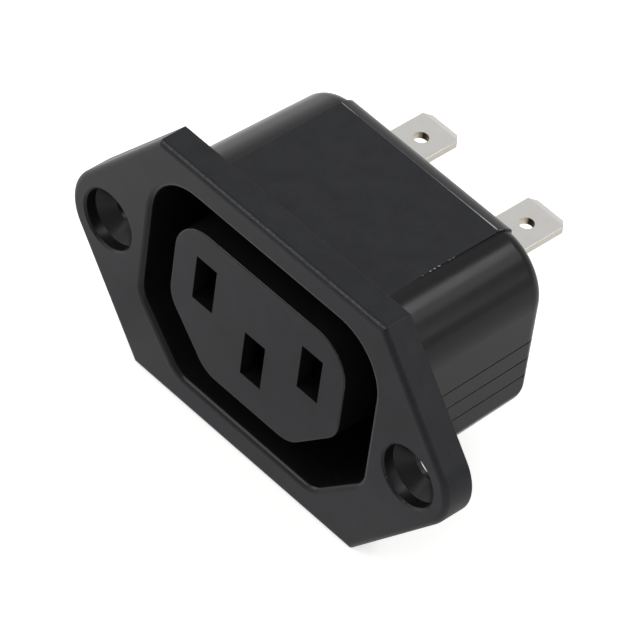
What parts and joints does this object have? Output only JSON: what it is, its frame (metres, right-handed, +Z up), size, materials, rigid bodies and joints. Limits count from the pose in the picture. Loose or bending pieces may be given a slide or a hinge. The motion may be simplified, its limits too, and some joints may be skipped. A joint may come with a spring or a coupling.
{
  "type": "iec panel socket",
  "caption": "Screw-fixed panel power outlet: a black moulded housing with a keyed recess round a slotted tongue, and folded metal contacts that run out at the back as push-on tabs.",
  "frame": {"origin": "centre of the flange's back face, where it seats on the panel", "axes": "+X along the line of the fixing holes, +Y from the face towards the back of the body, +Z up towards the two upper slots"},
  "size_m": [0.0498, 0.0294, 0.0282],
  "materials": {
    "black_polyamide": "fine satin texture",
    "tinned_brass": "bright tin plate"
  },
  "bodies": {
    "root": {"flange": "black_polyamide", "housing": "black_polyamide", "tongue": "black_polyamide", "line_contact": "tinned_brass", "neutral_contact": "tinned_brass", "earth_contact": "tinned_brass"}
  },
  "joints": []
}
